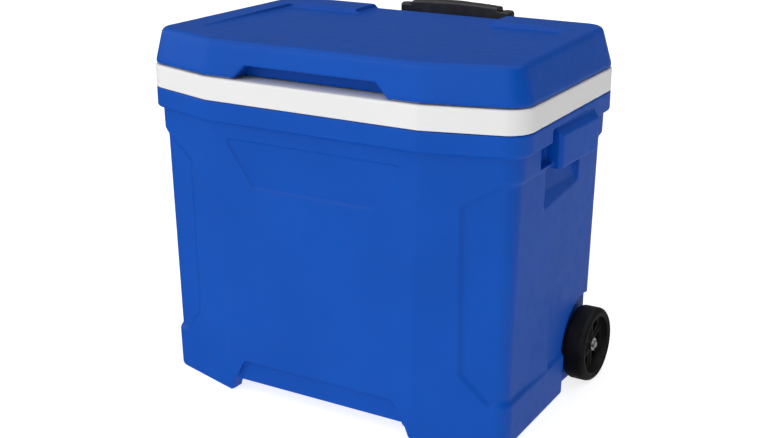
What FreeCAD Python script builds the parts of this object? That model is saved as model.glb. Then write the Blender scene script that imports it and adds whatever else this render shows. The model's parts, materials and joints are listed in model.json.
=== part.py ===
import FreeCAD, Part
import math
import os

from FreeCAD import Vector

# A roller cooler. Millimetres, +X right, +Y back, +Z up, floor at z = 0, and the
# origin in the middle of the footprint. Depths are measured back from the front
# of the rim and turned into Y by the function y_at.

# Overall sizes
RIM_DEPTH = 294.0          # front of the rim to the back of the rim
OVERALL_DEPTH = 331.0      # front of the rim to the back of the tow handle
FRONT_FLAT = 129.0         # half width of the flat middle of the front
FLANK_SLOPE = 0.288        # how fast the front flanks fall back
RIM_HALF = 232.0           # half width of the rim, carried forward to depth 0
SIDE_TAPER = 0.0413        # the sides close in towards the back
RADIUS_CREASE = 22.0
RADIUS_FRONT = 29.0
RADIUS_REAR = 34.0

# Heights
ARCH_FLOOR = 14.4          # underside between the feet
RIM_LOW = 315.4            # underside of the blue rim band
RIM_TOP = 337.5            # top of the blue rim band
BAND_LOW = 337.7
BAND_TOP = 363.0
LID_LOW = 364.2
LID_SHOULDER = 368.0
LID_FRONT_TOP = 402.6
LID_TOP_RISE = 0.0185      # the lid's top climbs towards the back
LID_PANEL = 402.0          # floor of the sunken panel in the lid

# Body walls
WALL = 3.5
STEP_IN = 6.4              # body wall behind the rim band
DRAFT_FRONT = 0.006
DRAFT_SIDE = 0.025
DRAFT_REAR = 0.010
FOOT_ROUND = 4.4
RIM_ROUND = 2.5
BAND_ROUND = 1.5
BAND_WALL = 3.0
GAP = 0.4                  # between parts that only lie next to each other
CAVITY_INSET = 6.5         # from the body's outline to the space inside the shell
UNDERSIDE_RIM = 20.0
REAR_ARCH_HALF = 150.0
REAR_ARCH_FLARE = 10.0
LEAST_RADIUS = 8.0         # smallest corner left in an outline that is moved in
OUTSIDE = 260.0            # beyond the object on every side
BEHIND = 20.0              # past the front or back, for cutters that run out there
BELOW = 5.0                # under the floor, likewise

# Side recess, wrapping over the flanks and the back corners
RECESS_DEPTH = 3.6
RECESS_X = 167.0
RECESS_CORNER_X = 197.0
RECESS_CORNER_TOP_X = 212.0
RECESS_BACK_X = 179.0
RECESS_TOP_INNER = 264.0
RECESS_TOP = 290.0
RECESS_LOW_INNER = 79.2
RECESS_LOW = 47.4
RECESS_BEVEL = 5.5

# Front arch, name panel, side grips
ARCH_TOP = 41.3
ARCH_HALF_TOP = 96.4
ARCH_HALF_LOW = 119.6
ARCH_BACK = 14.5
ARCH_ROUND = (0.5, 8.0)     # at the floor and at the top
PANEL_TOP, PANEL_LOW = 297.9, 246.6
PANEL_HALF_TOP, PANEL_HALF_LOW = 111.8, 74.4
PANEL_DEPTH = 2.0
PANEL_RADIUS_LOW, PANEL_RADIUS_TOP = 6.0, 4.0
GRIP_FACE = 230.0
GRIP_PLATE = 5.0           # plate that the fingers curl behind
GRIP_FRONT, GRIP_REAR = 120.0, 217.6
GRIP_LOW, GRIP_TOP = 284.7, 319.7
GRIP_BEVEL = 3.6
RELIEF_FRONT = 101.6       # the rim is cut away from here to the grip's rear end
RELIEF_WALL = 215.5
RELIEF_TOP = 329.5
SCOOP_FRONT = 113.0
POCKET_FRONT, POCKET_REAR = 123.5, 207.7
POCKET_LOW = 231.0
POCKET_WALL = 204.5
POCKET_TOP = 308.0
SCOOP_CREASE_X, SCOOP_CREASE_Z = 208.5, 257.0
SCOOP_EDGE_X = 219.0
NICHE_LOW = 290.5
NICHE_LENGTH = 31.0
NICHE_WALL = 211.0

# Wheels and axle
WHEEL_RADIUS = 43.0
WHEEL_DEPTH = 251.0
WHEEL_OUTER = 227.6
WHEEL_INNER = 200.6
WELL_RADIUS = 58.0
WELL_WALL = 197.0
AXLE_RADIUS = 4.0
AXLE_END = 225.6
AXLE_BEVEL = 0.8
AXLE_SLACK = 0.15
SLEEVE_END = 1.5           # the sleeve stands this far into each well
WASHER_RADIUS, CAP_RADIUS = 9.0, 7.5
CAP_BACK, CAP_FACE = 7.1, 4.8   # in from the wheel's outer face
RUNNING = 0.08
SPOKES = 6
HUB_RADIUS, HUB_SETBACK = 10.5, 7.5
DISC_FACE, DISC_BACK = 218.6, 214.4
DISC_EDGE = 32.0
LIP_RADIUS = 37.0
RIB_WIDTH, RIB_HEIGHT = 3.0, 1.6
WINDOW_LOW, WINDOW_HIGH = 14.0, 27.5
WINDOW_HALF_LOW, WINDOW_HALF_HIGH = 1.9, 7.0
WINDOW_ROUND_LOW, WINDOW_ROUND_HIGH = 1.2, 2.2
SLEEVE_RADIUS = 7.0

# Liner
LINER_INSET = 27.0
LINER_WALL = 2.5
LINER_FLOOR = 75.0
LINER_DRAFT = 0.036
LINER_ROUND = 14.0

# Lid
LID_WALL = 2.8
LID_SLOPE = 0.27
LID_FRONT_SHARE = 0.6      # the front leans less than the other sides
LID_INSET_FRONT, LID_INSET_SIDE, LID_INSET_REAR = 2.9, 0.5, 3.0
LID_ROUND = 7.0
LID_PANEL_HALF = 181.0
LID_PANEL_FRONT, LID_PANEL_REAR = 52.0, 233.7
LID_PANEL_FLANK = 0.42     # how fast the panel's front falls back at its ends
LID_PANEL_ROUND = 6.0
LID_PANEL_RISE = 8.0       # height over which the panel's edges spread by these
LID_PANEL_SPREAD = 2.5
LID_PANEL_RAMP = 55.0
LID_GAP_HALF = 87.0
NOTCH_HALF_LOW, NOTCH_HALF_TOP = 94.2, 79.6
NOTCH_TOP = 379.0
NOTCH_BACK = 23.0
NOTCH_ROUND = (1.0, 2.0, 5.0)
PLUG_DEPTH = 12.0
PLUG_CLEARANCE = 2.2
PLUG_DRAFT = 1.5
PLUG_WALL = 3.0
PLUG_ROUND = 3.0
LID_LINER_THICK = 2.5

# Lid hinges
HINGE_DEPTH, HINGE_Z = 292.5, 385.0
HINGE_X = 150.0
HINGE_WIDTH = 44.0
KNUCKLE = 12.0
KNUCKLE_RADIUS = 5.0
PIN_RADIUS = 2.0
PIN_HEAD = 1.2
PIN_HEAD_LENGTH = 1.9
PIN_END = 0.5
BRACKET_BACK = 297.6
BRACKET_FACE = 294.4
BRACKET_LOW, BRACKET_HIGH = 321.0, 378.0
BRACKET_SCREW_Z = 328.0
BRACKET_SCREW_X = 14.0
KNUCKLE_GAP = 0.5
LEAF_LOW, LEAF_HIGH = 372.0, 400.0
LEAF_THICK = 2.0
LEAF_SEAT = 0.3            # between the leaf and the lid's wall
LEAF_SCREWS = (375.4, 396.5)
LEAF_SCREW_HEAD = (3.2, 1.6)
LEAF_SCREW_LENGTH = 6.0

# Telescoping tow handle
TUBE_X = 67.6
TUBE_DEPTH = 320.0
OUTER_TUBE = (9.5, 8.5)
MIDDLE_TUBE = (8.0, 7.0)
INNER_TUBE = (6.5, 5.5)
HOUSING_HALF = 82.0
HOUSING_LOW, HOUSING_TOP = 318.0, 362.0
HOUSING_PLATE, HOUSING_BACK = 300.0, 331.0
HOUSING_SCREWS = [(-40.0, 326.0), (40.0, 326.0)]
SHELF_THICK, SHELF_SETBACK = 5.0, 8.0
FOOT_LOW, FOOT_TOP = 22.0, 60.0
FOOT_PLATE_BACK = 292.0
FOOT_SCREWS = [(-40.0, 48.0), (40.0, 48.0)]
OUTER_SPAN = (30.0, 361.0)
MIDDLE_SPAN = (48.0, 368.0)
INNER_SPAN = (70.0, 394.0)
TUBE_SLACK = 0.1           # outer tube in its brackets
PRESSED = 0.02             # between a plug and the tube it is pressed into
PLUG_IN, PLUG_OUT = 12.0, 8.0
BUSH_LENGTH, BUSH_TOP = 20.0, 363.4
COLLAR = (363.9, 370.0)
COLLAR_RADIUS = 9.1
GRIP_BASE = 370.4
BAR_LOW, BAR_SHOULDER, BAR_TOP = 387.5, 404.8, 409.4
BAR_HALF = 58.0
BAR_CROWN = 2.2
BAR_FRONT, BAR_BACK = 312.0, 328.0
BAR_ROUND = 2.5
EAR_TOP = 406.0
EAR_RADIUS, EAR_ROUND = 8.0, 3.5
CHANNEL_HALF = 4.5
CHANNEL_LOW, CHANNEL_TOP = 391.0, 404.6
YOKE_LOW, YOKE_TOP = 399.8, 403.8
BUTTON_HALF, BUTTON_DEPTH = 20.0, 9.0
BUTTON_TOP = 412.4
BUTTON_SLACK, BUTTON_ROUND = 0.4, 0.8
YOKE_HALF, YOKE_OVERHANG = 3.5, 2.2
ROD_RADIUS = 2.0
SPRING_RADIUS, SPRING_WIRE, SPRING_TURNS = 3.2, 0.4, 4.5
SPRING_END = 0.6

# Fasteners
SCREW_RADIUS = 1.8
SCREW_HEAD = (3.8, 2.4)
SCREW_LENGTH = 8.0
HOUSING_SCREW_LENGTH, FOOT_SCREW_LENGTH = 14.0, 12.0
PILOT_DEPTH = 16.0
HOLE_SLACK = 0.15
SCREW_HEAD_ROUND = 0.9
HEAD_GAP = 0.05            # under a screw's head


def y_at(depth):
    return depth - OVERALL_DEPTH / 2


# ---- outlines ------------------------------------------------------------

def plan_corners(front, side, rear):
    """Right-hand corners of the plan, moved in by these amounts."""
    flank = (front + side) / 2 * math.hypot(1, FLANK_SLOPE)
    crease_x = FRONT_FLAT + (front - flank) / FLANK_SLOPE
    half = RIM_HALF - side
    corner_depth = (FLANK_SLOPE * (half - FRONT_FLAT) + flank) / (1 + FLANK_SLOPE * SIDE_TAPER)
    rear_depth = RIM_DEPTH - rear
    return [
        (crease_x, front),
        (half - SIDE_TAPER * corner_depth, corner_depth),
        (half - SIDE_TAPER * rear_depth, rear_depth),
    ]


def plan_wire(z, front, side, rear):
    """Closed plan outline with rounded corners at height z."""
    right = plan_corners(front, side, rear)
    left = [(-x, depth) for x, depth in reversed(right)]
    shrink = (front + side) / 2
    corner_radii = [max(radius - shrink, LEAST_RADIUS) for radius in (RADIUS_FRONT, RADIUS_REAR)]
    radii = [RADIUS_CREASE] + corner_radii
    points = [Vector(x, y_at(depth), z) for x, depth in right + left]
    return rounded_wire(points, radii + radii[::-1])


def rounded_wire(points, radii):
    """Closed wire through the points with each corner rounded to its radius."""
    corners = []
    for i, corner in enumerate(points):
        before, after = points[i - 1], points[(i + 1) % len(points)]
        into = (corner - before).normalize()
        out = (after - corner).normalize()
        turn = into.getAngle(out)
        reach = radii[i] * math.tan(turn / 2)
        bisector = (out - into).normalize()
        middle = corner + bisector * (radii[i] / math.cos(turn / 2) - radii[i])
        corners.append((corner - into * reach, middle, corner + out * reach))
    edges = []
    for i, (start, middle, end) in enumerate(corners):
        edges.append(Part.Arc(start, middle, end).toShape())
        following = corners[(i + 1) % len(corners)][0]
        edges.append(Part.makeLine(end, following))
    return Part.Wire(edges)


def loft(*wires):
    return Part.makeLoft(list(wires), True, True)


def body_section(z, extra=0.0):
    """Plan of the body wall at height z, moved in by extra."""
    drop = RIM_LOW - z
    return plan_wire(
        z,
        STEP_IN + DRAFT_FRONT * drop + extra,
        STEP_IN + DRAFT_SIDE * drop + extra,
        STEP_IN + DRAFT_REAR * drop + extra,
    )


def liner_section(z, extra=0.0):
    inset = LINER_INSET + LINER_DRAFT * (BAND_TOP - z) + extra
    return plan_wire(z, inset, inset, inset)


def even_section(z, inset):
    return plan_wire(z, inset, inset, inset)


def lid_section(z, extra=0.0):
    """Plan of the lid's outer wall at height z, moved in by extra."""
    lean = LID_SLOPE * max(z - LID_SHOULDER, 0) + extra
    front = LID_INSET_FRONT + lean * LID_FRONT_SHARE
    return plan_wire(z, front, LID_INSET_SIDE + lean, LID_INSET_REAR + lean)


# ---- small helpers -------------------------------------------------------

def box(x, depth, z):
    """Box from three (low, high) pairs: X, depth and Z."""
    return Part.makeBox(
        x[1] - x[0], depth[1] - depth[0], z[1] - z[0], Vector(x[0], y_at(depth[0]), z[0])
    )


def prism_y(points, depth):
    """Polygon of (x, z) points pushed through a (low, high) range of depth."""
    ring = [Vector(x, y_at(depth[0]), z) for x, z in points]
    face = Part.Face(Part.makePolygon(ring + ring[:1]))
    return face.extrude(Vector(0, depth[1] - depth[0], 0))


def prism_x(points, x):
    """Polygon of (depth, z) points pushed through a (low, high) range of X."""
    ring = [Vector(x[0], y_at(depth), z) for depth, z in points]
    face = Part.Face(Part.makePolygon(ring + ring[:1]))
    return face.extrude(Vector(x[1] - x[0], 0, 0))


def rod_x(radius, x, depth, z):
    return Part.makeCylinder(radius, x[1] - x[0], Vector(x[0], y_at(depth), z), Vector(1, 0, 0))


def rod_y(radius, x, depth, z):
    start = Vector(x, y_at(depth[0]), z)
    return Part.makeCylinder(radius, depth[1] - depth[0], start, Vector(0, 1, 0))


def rod_z(radius, x, depth, z):
    return Part.makeCylinder(radius, z[1] - z[0], Vector(x, y_at(depth), z[0]))


def tube_z(radii, x, depth, z):
    return rod_z(radii[0], x, depth, z).cut(rod_z(radii[1], x, depth, z))


def both_sides(shape):
    return [shape, shape.mirror(Vector(0, 0, 0), Vector(1, 0, 0))]


def fuse(shapes):
    shapes = list(shapes)
    return shapes[0].multiFuse(shapes[1:]).removeSplitter()


def edge_middle(edge):
    return edge.valueAt((edge.FirstParameter + edge.LastParameter) / 2)


def round_edges(shape, radius, wanted):
    """Fillet the edges whose middle point passes the test."""
    return shape.makeFillet(radius, [e for e in shape.Edges if wanted(edge_middle(e), e)])


def bevel_edges(shape, size, wanted):
    """Chamfer the edges whose middle point passes the test."""
    return shape.makeChamfer(size, [e for e in shape.Edges if wanted(edge_middle(e), e)])


def save(node, shape):
    solids = shape.Solids
    result = solids[0] if len(solids) == 1 else Part.makeCompound(solids)
    result.exportStep(f"parts/{node}.step")
    print(f"{node}: {len(solids)} solid(s), {result.Volume / 1000:.1f} cm3, valid {result.isValid()}")


# ---- body ----------------------------------------------------------------

def recess_core():
    """The sunken wall, flush above and below with sloping edges between."""
    heights = [
        (0, 0),
        (RECESS_LOW, 0),
        (RECESS_LOW + RECESS_BEVEL, RECESS_DEPTH),
        (RECESS_TOP - RECESS_BEVEL, RECESS_DEPTH),
        (RECESS_TOP, 0),
        (RIM_LOW, 0),
    ]
    return loft(*[body_section(z, inset) for z, inset in heights])


def flank_point(x, z):
    """Point of the front flank's surface."""
    drop = RIM_LOW - z
    inset = STEP_IN + (DRAFT_FRONT + DRAFT_SIDE) / 2 * drop
    depth = FLANK_SLOPE * (x - FRONT_FLAT) + inset * math.hypot(1, FLANK_SLOPE)
    return Vector(x, y_at(depth), z)


def beyond(point, normal):
    """A large block on the normal's side of the plane through the point."""
    size = 2 * OUTSIDE
    block = Part.makeBox(size, size, size, Vector(-size / 2, -size / 2, 0))
    turn = FreeCAD.Rotation(Vector(0, 0, 1), normal)
    block.Placement = FreeCAD.Placement(point, turn)
    return block


def bevel_plane(start, end, inward, centre):
    """Block outside a sloping edge that runs from start to end on the wall."""
    along = (end - start).normalize()
    into_region = along.cross(inward).normalize()
    if into_region.dot(centre - start) < 0:
        into_region = into_region * -1
    slope = inward * RECESS_DEPTH + into_region * RECESS_BEVEL
    normal = along.cross(slope).normalize()
    if normal.dot(into_region) > 0:
        normal = normal * -1
    return beyond(start, normal)


def recess_region():
    """Right-hand region of the side recess, with sloping ends."""
    half = RIM_DEPTH / 2
    low = flank_point(RECESS_X, RECESS_LOW_INNER)
    corner_low = flank_point(RECESS_CORNER_X, RECESS_LOW)
    top = flank_point(RECESS_X, RECESS_TOP_INNER)
    corner_top = flank_point(RECESS_CORNER_TOP_X, RECESS_TOP)
    centre = flank_point(RECESS_CORNER_X, (RECESS_LOW + RECESS_TOP) / 2)
    inward = Vector(-FLANK_SLOPE, 1, 0).normalize()
    flank = box((RECESS_X - BEHIND, RECESS_CORNER_TOP_X), (-BEHIND, half), (0, RIM_LOW))
    for start, end in ((low, top), (low, corner_low), (top, corner_top)):
        flank = flank.cut(bevel_plane(start, end, inward, centre))
    back_low = Vector(RECESS_X, y_at(RIM_DEPTH - STEP_IN), 0)
    back_top = back_low + Vector(0, 0, RIM_LOW)
    back = box((RECESS_X - BEHIND, RECESS_BACK_X), (half, RIM_DEPTH + BEHIND), (0, RIM_LOW))
    back_centre = Vector(RECESS_CORNER_X, back_low.y, RIM_LOW / 2)
    back = back.cut(bevel_plane(back_low, back_top, Vector(0, -1, 0), back_centre))
    side = box((RECESS_CORNER_TOP_X, OUTSIDE), (-BEHIND, half), (0, RIM_LOW))
    corner = box((RECESS_BACK_X, OUTSIDE), (half, RIM_DEPTH + BEHIND), (0, RIM_LOW))
    return fuse([flank, side, corner, back])


def recess_cutters():
    """Right and left cutters for the side recesses."""
    return both_sides(recess_region().cut(recess_core()))


def wheel_well(side, grow=0.0):
    """Round-topped space for a wheel, open below and behind."""
    inner, outer = sorted((side * (WELL_WALL - grow), side * OUTSIDE))
    arch = rod_x(WELL_RADIUS + grow, (inner, outer), WHEEL_DEPTH, WHEEL_RADIUS)
    front = WHEEL_DEPTH - WELL_RADIUS - grow
    return arch.fuse(box((inner, outer), (front, RIM_DEPTH + BEHIND), (-BEHIND, WHEEL_RADIUS)))


def side_prism(side, outline, depth):
    """Polygon of (x, z) points on the right, pushed along the depth, on either side."""
    shape = prism_y(outline, depth)
    return shape if side > 0 else shape.mirror(Vector(0, 0, 0), Vector(1, 0, 0))


def grip_recess(side, grow=0.0):
    """Cuts made before the grip is added: the rim's relief and a niche at each end."""
    relief = [
        (RELIEF_WALL - grow, NICHE_LOW - grow),
        (RELIEF_WALL - grow, RELIEF_TOP + grow),
        (OUTSIDE, RELIEF_TOP + grow),
        (OUTSIDE, NICHE_LOW - grow),
    ]
    niche = [
        (NICHE_WALL - grow, NICHE_LOW - grow),
        (NICHE_WALL - grow, RIM_LOW + grow),
        (OUTSIDE, RIM_LOW + grow),
        (OUTSIDE, NICHE_LOW - grow),
    ]
    ends = (GRIP_FRONT - NICHE_LENGTH - grow, GRIP_REAR + NICHE_LENGTH + grow)
    cut = side_prism(side, relief, (RELIEF_FRONT - grow, GRIP_REAR))
    return cut.fuse(side_prism(side, niche, ends))


def grip_pocket(side, grow=0.0):
    """Cuts made after the grip is added: the scoop below it and the space behind it."""
    scoop = [
        (SCOOP_EDGE_X - grow, POCKET_LOW - grow),
        (SCOOP_CREASE_X - grow, SCOOP_CREASE_Z - grow),
        (POCKET_WALL - grow, GRIP_LOW),
        (OUTSIDE, GRIP_LOW),
        (OUTSIDE, POCKET_LOW - grow),
    ]
    behind = [
        (POCKET_WALL - grow, GRIP_LOW - 1),
        (POCKET_WALL - grow, POCKET_TOP + grow),
        (GRIP_FACE - GRIP_PLATE + grow, POCKET_TOP + grow),
        (GRIP_FACE - GRIP_PLATE + grow, GRIP_LOW - 1),
    ]
    low = side_prism(side, scoop, (SCOOP_FRONT - grow, POCKET_REAR + grow))
    return low.fuse(side_prism(side, behind, (POCKET_FRONT - grow, POCKET_REAR + grow)))


def grip_block(side):
    """The grip, solid down to the wall, with a sloping top inside the relief."""
    slope_end = GRIP_FACE - (RELIEF_TOP - GRIP_TOP)
    outline = [
        (NICHE_WALL, GRIP_LOW),
        (GRIP_FACE, GRIP_LOW),
        (GRIP_FACE, GRIP_TOP),
        (slope_end, RELIEF_TOP),
        (NICHE_WALL, RELIEF_TOP),
    ]
    block = side_prism(side, outline, (GRIP_FRONT, GRIP_REAR))
    upright = GRIP_TOP - GRIP_LOW
    return bevel_edges(
        block,
        GRIP_BEVEL,
        lambda c, e: abs(abs(c.x) - GRIP_FACE) < 0.1 and e.BoundBox.ZLength > upright - 1,
    )


def name_panel():
    """Shallow trapezoid on the front, left blank."""
    corners = [
        (-PANEL_HALF_LOW, PANEL_LOW),
        (PANEL_HALF_LOW, PANEL_LOW),
        (PANEL_HALF_TOP, PANEL_TOP),
        (-PANEL_HALF_TOP, PANEL_TOP),
    ]
    face_depth = STEP_IN + DRAFT_FRONT * (RIM_LOW - PANEL_LOW)
    ring = [Vector(x, y_at(-BEHIND), z) for x, z in corners]
    face = Part.Face(rounded_wire(ring, [PANEL_RADIUS_LOW] * 2 + [PANEL_RADIUS_TOP] * 2))
    return face.extrude(Vector(0, face_depth + PANEL_DEPTH + BEHIND, 0))


def arch_cutter():
    """Recess low on the front, between the feet."""
    corners = [
        (-ARCH_HALF_LOW, -BELOW),
        (ARCH_HALF_LOW, -BELOW),
        (ARCH_HALF_TOP, ARCH_TOP),
        (-ARCH_HALF_TOP, ARCH_TOP),
    ]
    ring = [Vector(x, y_at(-BEHIND), z) for x, z in corners]
    low, high = ARCH_ROUND
    face = Part.Face(rounded_wire(ring, [low, low, high, high]))
    return face.extrude(Vector(0, ARCH_BACK + BEHIND, 0))


def underside_cutter():
    """Raised underside, open between the front feet and at the back."""
    middle = loft(body_section(-BELOW, UNDERSIDE_RIM), body_section(ARCH_FLOOR, UNDERSIDE_RIM))
    front_low = ARCH_HALF_LOW - 1
    front_top = ARCH_HALF_LOW - (ARCH_HALF_LOW - ARCH_HALF_TOP) * ARCH_FLOOR / ARCH_TOP
    rear_low = REAR_ARCH_HALF + REAR_ARCH_FLARE
    half = RIM_DEPTH / 2
    front = prism_y(trapezoid(front_low, front_top), (-BEHIND, half))
    rear = prism_y(trapezoid(rear_low, REAR_ARCH_HALF), (half, RIM_DEPTH + BEHIND))
    return fuse([middle, front, rear])


def trapezoid(half_low, half_top):
    """Outline in X and Z of an opening from below the floor to the raised underside."""
    return [(-half_low, -BELOW), (half_low, -BELOW), (half_top, ARCH_FLOOR), (-half_top, ARCH_FLOOR)]


def outer_body():
    wall = loft(body_section(0), body_section(RIM_LOW + 1))
    wall = round_edges(wall, FOOT_ROUND, lambda c, e: c.z < 0.1)
    rim = loft(even_section(RIM_LOW, 0), even_section(RIM_TOP, 0))
    rim = round_edges(rim, RIM_ROUND, lambda c, e: c.z < RIM_LOW + 0.1)
    body = wall.fuse(rim)
    for cutter in recess_cutters() + [name_panel(), arch_cutter(), underside_cutter()]:
        body = body.cut(cutter)
    for side in (-1, 1):
        body = body.cut(wheel_well(side)).cut(grip_recess(side))
        body = body.fuse(grip_block(side)).cut(grip_pocket(side))
    return body


def hand_spaces(side, grow):
    """The wheel well and the grip's spaces, grown on every side."""
    return [wheel_well(side, grow), grip_recess(side, grow), grip_pocket(side, grow)]


def body_cavity():
    """Space inside the blue shell, kept a wall's thickness from every recess."""
    floor = ARCH_FLOOR + WALL
    cavity = loft(body_section(floor, CAVITY_INSET), body_section(RIM_LOW, CAVITY_INSET))
    inset_top = STEP_IN + CAVITY_INSET
    cavity = cavity.fuse(loft(even_section(RIM_LOW, inset_top), even_section(RIM_TOP + 1, inset_top)))
    cavity = cavity.cut(arch_block(WALL))
    for side in (-1, 1):
        for space in hand_spaces(side, WALL):
            cavity = cavity.cut(space)
    return cavity


def arch_block(margin):
    """Block over the front arch with this much kept round it."""
    half = ARCH_HALF_LOW + margin
    return box((-half, half), (0, ARCH_BACK + margin), (0, ARCH_TOP + margin))


def make_body_shell():
    shell = outer_body().cut(body_cavity())
    sleeve_hole = rod_x(SLEEVE_RADIUS + HOLE_SLACK, (-OUTSIDE, OUTSIDE), WHEEL_DEPTH, WHEEL_RADIUS)
    for hole in [sleeve_hole] + body_screw_holes():
        shell = shell.cut(hole)
    return shell


def make_inner_liner():
    """White tub with the white band as its turned-down rim."""
    low = LINER_FLOOR - LINER_WALL
    tub = loft(liner_section(low), liner_section(BAND_TOP))
    tub = round_edges(tub, LINER_ROUND, lambda c, e: c.z < low + 0.1)
    band = loft(even_section(BAND_LOW, 0), even_section(BAND_TOP, 0))
    band = round_edges(band, BAND_ROUND, lambda c, e: c.z > BAND_TOP - 0.1)
    groove = loft(even_section(BAND_LOW - 1, BAND_WALL), even_section(BAND_TOP - BAND_WALL, BAND_WALL))
    tub_keep = loft(liner_section(BAND_LOW - 2), liner_section(BAND_TOP))
    space = loft(liner_section(LINER_FLOOR, LINER_WALL), liner_section(BAND_TOP + 1, LINER_WALL))
    space = round_edges(space, LINER_ROUND - LINER_WALL, lambda c, e: c.z < LINER_FLOOR + 0.1)
    return band.cut(groove.cut(tub_keep)).fuse(tub).cut(space)


def make_body_foam():
    """Insulation filling the space between shell and liner."""
    floor = ARCH_FLOOR + WALL + GAP
    inset = CAVITY_INSET + GAP
    foam = loft(body_section(floor, inset), body_section(RIM_LOW, inset))
    inset_top = STEP_IN + inset
    top = BAND_TOP - BAND_WALL - GAP
    foam = foam.fuse(loft(even_section(RIM_LOW, inset_top), even_section(top, inset_top)))
    margin = WALL + GAP
    foam = foam.cut(arch_block(margin))
    for side in (-1, 1):
        for space in hand_spaces(side, margin):
            foam = foam.cut(space)
    low = LINER_FLOOR - LINER_WALL - GAP
    foam = foam.cut(loft(liner_section(low, -GAP), liner_section(BAND_TOP, -GAP)))
    foam = foam.cut(rod_x(SLEEVE_RADIUS + GAP, (-OUTSIDE, OUTSIDE), WHEEL_DEPTH, WHEEL_RADIUS))
    for hole in body_screw_holes(GAP):
        foam = foam.cut(hole)
    return foam


# ---- lid -----------------------------------------------------------------

def notch_cutter(grow=0.0):
    """Finger notch under the front edge of the lid."""
    corners = [
        (-NOTCH_HALF_LOW - grow, LID_LOW - BEHIND),
        (NOTCH_HALF_LOW + grow, LID_LOW - BEHIND),
        (NOTCH_HALF_LOW + grow, LID_LOW),
        (NOTCH_HALF_TOP + grow, NOTCH_TOP + grow),
        (-NOTCH_HALF_TOP - grow, NOTCH_TOP + grow),
        (-NOTCH_HALF_LOW - grow, LID_LOW),
    ]
    ring = [Vector(x, y_at(-BEHIND), z) for x, z in corners]
    below, low, high = NOTCH_ROUND
    face = Part.Face(rounded_wire(ring, [below, below, low, high, high, low]))
    return face.extrude(Vector(0, NOTCH_BACK + BEHIND + grow, 0))


def lid_top_cutter(drop=0.0):
    """Everything above the lid's gently climbing top."""
    start, end = -BEHIND, RIM_DEPTH + BEHIND
    low = LID_FRONT_TOP - drop + LID_TOP_RISE * start
    high = LID_FRONT_TOP - drop + LID_TOP_RISE * end
    outline = [(start, low), (end, high), (end, OUTSIDE * 2), (start, OUTSIDE * 2)]
    return prism_x(outline, (-OUTSIDE, OUTSIDE))


def lid_panel_cutter(grow=0.0):
    """Sunken panel in the lid's top, with a ramp in front, running out at the back."""
    floor = LID_PANEL - grow
    half, gap_half = LID_PANEL_HALF + grow, LID_GAP_HALF + grow
    front, rear = LID_PANEL_FRONT - grow, LID_PANEL_REAR + grow
    spread = LID_PANEL_SPREAD
    field = loft(
        panel_wire(floor, half, front, rear, LID_PANEL_ROUND),
        panel_wire(
            floor + LID_PANEL_RISE,
            half + spread,
            front - LID_PANEL_RAMP,
            rear + spread,
            LID_PANEL_ROUND + spread,
        ),
    )
    gap_depth = (rear - LID_PANEL_ROUND, RIM_DEPTH + BEHIND)
    gap = loft(
        rectangle_wire(floor, gap_half, gap_depth),
        rectangle_wire(floor + LID_PANEL_RISE, gap_half + spread, gap_depth),
    )
    return field.fuse(gap)


def panel_wire(z, half, front, rear, radius):
    """The panel's outline: its front falls back at both ends, as the lid's does."""
    fall = LID_PANEL_FLANK * (half - FRONT_FLAT)
    right = [(FRONT_FLAT, front), (half, front + fall), (half, rear)]
    left = [(-x, depth) for x, depth in reversed(right)]
    points = [Vector(x, y_at(depth), z) for x, depth in right + left]
    return rounded_wire(points, [RADIUS_CREASE, radius, radius, radius, radius, RADIUS_CREASE])


def rectangle_wire(z, half, depth):
    corners = ((-half, depth[0]), (half, depth[0]), (half, depth[1]), (-half, depth[1]))
    points = [Vector(x, y_at(d), z) for x, d in corners]
    return Part.makePolygon(points + points[:1])


def lid_block(low, inset):
    """The lid's sloping sides as a solid that is taller than the lid."""
    top = LID_FRONT_TOP + BEHIND
    return loft(lid_section(low, inset), lid_section(LID_SHOULDER, inset), lid_section(top, inset))


def make_lid_shell():
    outside = lid_block(LID_LOW, 0.0)
    outside = outside.cut(lid_top_cutter())
    outside = round_edges(outside, LID_ROUND, lambda c, e: c.z > LID_FRONT_TOP - 2)
    outside = outside.cut(lid_panel_cutter()).cut(notch_cutter())
    inside = lid_block(LID_LOW - 1, LID_WALL).cut(lid_top_cutter(LID_WALL))
    inside = inside.cut(lid_panel_cutter(LID_WALL)).cut(notch_cutter(LID_WALL))
    shell = outside.cut(inside)
    for hole in lid_screw_holes():
        shell = shell.cut(hole)
    return shell


def make_lid_liner():
    """White inner face of the lid, with the raised ring that seats in the tub."""
    low, high = LID_LOW, LID_LOW + LID_LINER_THICK
    margin = LID_WALL + GAP
    plate = loft(lid_section(low, margin), lid_section(high, margin)).cut(notch_cutter(margin))
    inset = LINER_INSET + LINER_WALL + PLUG_CLEARANCE
    ring_low = low - PLUG_DEPTH
    ring = loft(even_section(ring_low, inset + PLUG_DRAFT), even_section(high, inset))
    ring = round_edges(ring, PLUG_ROUND, lambda c, e: c.z < ring_low + 0.1)
    inner = inset + PLUG_WALL
    hollow = loft(even_section(ring_low - 1, inner + PLUG_DRAFT), even_section(low, inner))
    return plate.fuse(ring.cut(hollow))


def make_lid_foam():
    margin = LID_WALL + GAP
    foam = lid_block(LID_LOW + LID_LINER_THICK + GAP, margin).cut(lid_top_cutter(margin))
    foam = foam.cut(lid_panel_cutter(margin)).cut(notch_cutter(margin))
    for hole in lid_screw_holes(GAP):
        foam = foam.cut(hole)
    return foam


# ---- lid hinges ----------------------------------------------------------

def lid_wall_depth(z):
    """Depth of the lid's rear wall at height z."""
    return RIM_DEPTH - LID_INSET_REAR - LID_SLOPE * max(z - LID_SHOULDER, 0)


def wall_normal():
    return Vector(0, 1, LID_SLOPE).normalize()


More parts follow.
